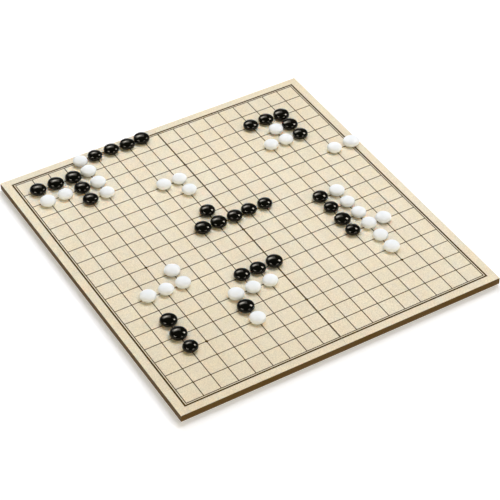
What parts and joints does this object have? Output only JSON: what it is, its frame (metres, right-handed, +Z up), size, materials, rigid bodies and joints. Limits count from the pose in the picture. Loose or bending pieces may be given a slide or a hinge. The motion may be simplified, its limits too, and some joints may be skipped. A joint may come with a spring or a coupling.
{
  "type": "folding go board with stones",
  "caption": "Thin folding board for the game of go, with a printed grid on its face, hinges underneath and loose black and white glass stones standing on its points.",
  "frame": {"origin": "on the table, under the middle of the open board", "axes": "+X across the seam to the leaf that folds, +Y along the seam towards the back, +Z up"},
  "size_m": [0.424, 0.454, 0.0192],
  "materials": {
    "face_veneer": "satin lacquered pale veneer",
    "back_veneer": "matt lacquered pale veneer",
    "stained_core": "satin dark brown stained edges",
    "printed_ink": "matt printed ink",
    "hinge_brass": "stamped and tumbled",
    "screw_brass": "plated",
    "pin_steel": "drawn wire",
    "foot_rubber": "matt",
    "black_glass": "polished opaque black glass",
    "white_glass": "polished opaque white glass"
  },
  "bodies": {
    "leaf_left": {"leaf_core_left": "stained_core", "face_veneer_left": "face_veneer", "back_veneer_left": "back_veneer", "grid_lines_left": "printed_ink", "border_line_left": "printed_ink", "hinge_front_left_plate": "hinge_brass", "hinge_front_pin": "pin_steel", "hinge_back_left_plate": "hinge_brass", "hinge_back_pin": "pin_steel", "hinge_screws_left": "screw_brass", "foot_left_front": "foot_rubber", "foot_left_back": "foot_rubber"},
    "leaf_right": {"leaf_core_right": "stained_core", "face_veneer_right": "face_veneer", "back_veneer_right": "back_veneer", "grid_lines_right": "printed_ink", "border_line_right": "printed_ink", "hinge_front_right_plate": "hinge_brass", "hinge_back_right_plate": "hinge_brass", "hinge_screws_right": "screw_brass", "foot_right_front": "foot_rubber", "foot_right_back": "foot_rubber"},
    "black_chain_left_corner": {"black_chain_left_corner": "black_glass"},
    "black_chain_back_edge": {"black_chain_back_edge": "black_glass"},
    "black_chain_middle_left": {"black_chain_middle_left": "black_glass"},
    "black_chain_left_side": {"black_chain_left_side": "black_glass"},
    "black_chain_front": {"black_chain_front": "black_glass"},
    "black_stone_front": {"black_stone_front": "black_glass"},
    "white_chain_left_edge": {"white_chain_left_edge": "white_glass"},
    "white_chain_left_corner": {"white_chain_left_corner": "white_glass"},
    "white_chain_back_middle": {"white_chain_back_middle": "white_glass"},
    "white_chain_left_side": {"white_chain_left_side": "white_glass"},
    "white_chain_front": {"white_chain_front": "white_glass"},
    "white_stone_front": {"white_stone_front": "white_glass"},
    "black_chain_right_corner": {"black_chain_right_corner": "black_glass"},
    "black_chain_middle_right": {"black_chain_middle_right": "black_glass"},
    "black_chain_right_side": {"black_chain_right_side": "black_glass"},
    "white_chain_right_corner": {"white_chain_right_corner": "white_glass"},
    "white_chain_right_edge": {"white_chain_right_edge": "white_glass"},
    "white_chain_right_side": {"white_chain_right_side": "white_glass"}
  },
  "joints": [
    {"name": "fold", "type": "hinge", "parent": "leaf_left", "child": "leaf_right", "pos_m": [0, 0, 0.002], "axis": [0, 1, 0], "range_deg": [0, 178.5]},
    {"name": "lift_black_chain_left_corner", "type": "slide", "parent": "leaf_left", "child": "black_chain_left_corner", "axis": [0, 0, 1], "range_m": [0, 0.04]},
    {"name": "lift_black_chain_back_edge", "type": "slide", "parent": "leaf_left", "child": "black_chain_back_edge", "axis": [0, 0, 1], "range_m": [0, 0.04]},
    {"name": "lift_black_chain_middle_left", "type": "slide", "parent": "leaf_left", "child": "black_chain_middle_left", "axis": [0, 0, 1], "range_m": [0, 0.04]},
    {"name": "lift_black_chain_left_side", "type": "slide", "parent": "leaf_left", "child": "black_chain_left_side", "axis": [0, 0, 1], "range_m": [0, 0.04]},
    {"name": "lift_black_chain_front", "type": "slide", "parent": "leaf_left", "child": "black_chain_front", "axis": [0, 0, 1], "range_m": [0, 0.04]},
    {"name": "lift_black_stone_front", "type": "slide", "parent": "leaf_left", "child": "black_stone_front", "axis": [0, 0, 1], "range_m": [0, 0.04]},
    {"name": "lift_white_chain_left_edge", "type": "slide", "parent": "leaf_left", "child": "white_chain_left_edge", "axis": [0, 0, 1], "range_m": [0, 0.04]},
    {"name": "lift_white_chain_left_corner", "type": "slide", "parent": "leaf_left", "child": "white_chain_left_corner", "axis": [0, 0, 1], "range_m": [0, 0.04]},
    {"name": "lift_white_chain_back_middle", "type": "slide", "parent": "leaf_left", "child": "white_chain_back_middle", "axis": [0, 0, 1], "range_m": [0, 0.04]},
    {"name": "lift_white_chain_left_side", "type": "slide", "parent": "leaf_left", "child": "white_chain_left_side", "axis": [0, 0, 1], "range_m": [0, 0.04]},
    {"name": "lift_white_chain_front", "type": "slide", "parent": "leaf_left", "child": "white_chain_front", "axis": [0, 0, 1], "range_m": [0, 0.04]},
    {"name": "lift_white_stone_front", "type": "slide", "parent": "leaf_left", "child": "white_stone_front", "axis": [0, 0, 1], "range_m": [0, 0.04]},
    {"name": "lift_black_chain_right_corner", "type": "slide", "parent": "leaf_right", "child": "black_chain_right_corner", "axis": [0, 0, 1], "range_m": [0, 0.04]},
    {"name": "lift_black_chain_middle_right", "type": "slide", "parent": "leaf_right", "child": "black_chain_middle_right", "axis": [0, 0, 1], "range_m": [0, 0.04]},
    {"name": "lift_black_chain_right_side", "type": "slide", "parent": "leaf_right", "child": "black_chain_right_side", "axis": [0, 0, 1], "range_m": [0, 0.04]},
    {"name": "lift_white_chain_right_corner", "type": "slide", "parent": "leaf_right", "child": "white_chain_right_corner", "axis": [0, 0, 1], "range_m": [0, 0.04]},
    {"name": "lift_white_chain_right_edge", "type": "slide", "parent": "leaf_right", "child": "white_chain_right_edge", "axis": [0, 0, 1], "range_m": [0, 0.04]},
    {"name": "lift_white_chain_right_side", "type": "slide", "parent": "leaf_right", "child": "white_chain_right_side", "axis": [0, 0, 1], "range_m": [0, 0.04]}
  ]
}
